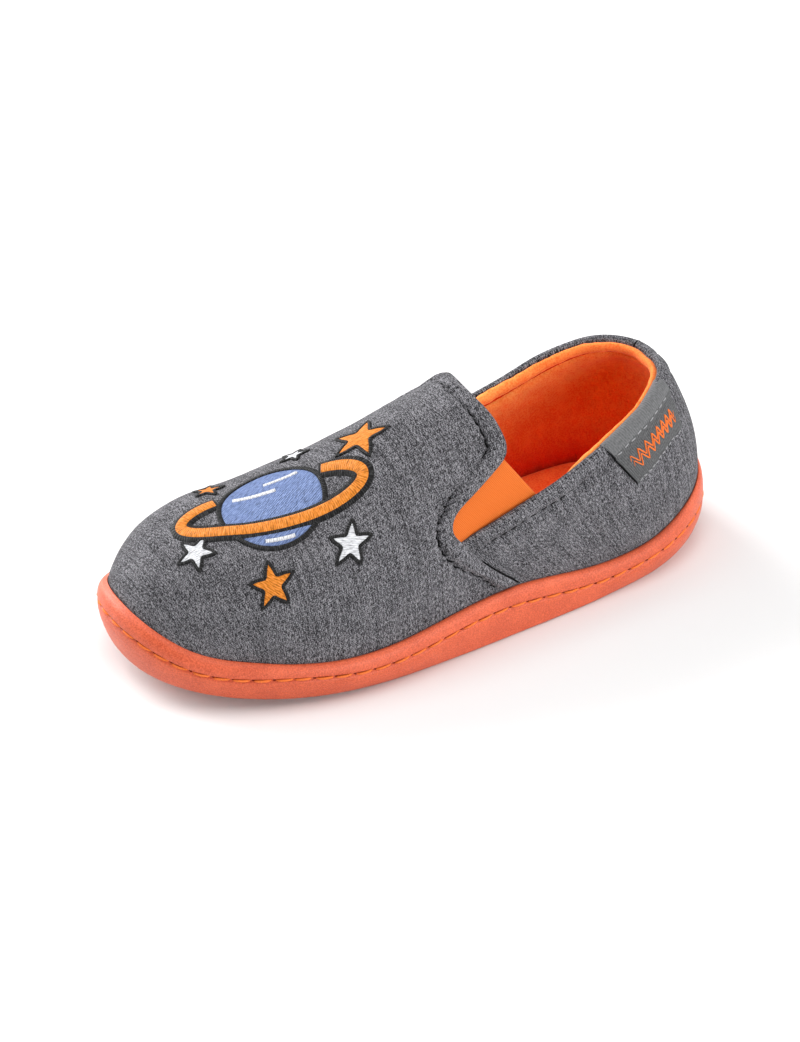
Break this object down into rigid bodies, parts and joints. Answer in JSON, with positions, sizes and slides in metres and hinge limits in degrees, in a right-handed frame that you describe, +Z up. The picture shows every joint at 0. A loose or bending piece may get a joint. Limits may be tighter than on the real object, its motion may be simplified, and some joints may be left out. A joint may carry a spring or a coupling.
{
  "type": "moccasin slipper",
  "caption": "Closed slip-on slipper for a child's left foot: moulded cup sole, hollow jersey upper, elastic side gussets and an open collar for the foot.",
  "frame": {"origin": "on the floor under the middle of the slipper's bounding box", "axes": "+Z up, -Y towards the toe, +X towards the outer side of the left foot"},
  "size_m": [0.0811, 0.2, 0.0737],
  "materials": {
    "outsole": "matte moulded rubber with a fine leather grain",
    "insole": "short felt",
    "upper": "grey marl jersey, lined with orange fleece",
    "elastic": "fine ribbed elastic",
    "heel_label": "woven tape"
  },
  "bodies": {
    "root": {"outsole": "outsole", "insole": "insole", "upper": "upper", "elastic_lateral": "elastic", "elastic_medial": "elastic", "heel_label": "heel_label"}
  },
  "joints": []
}
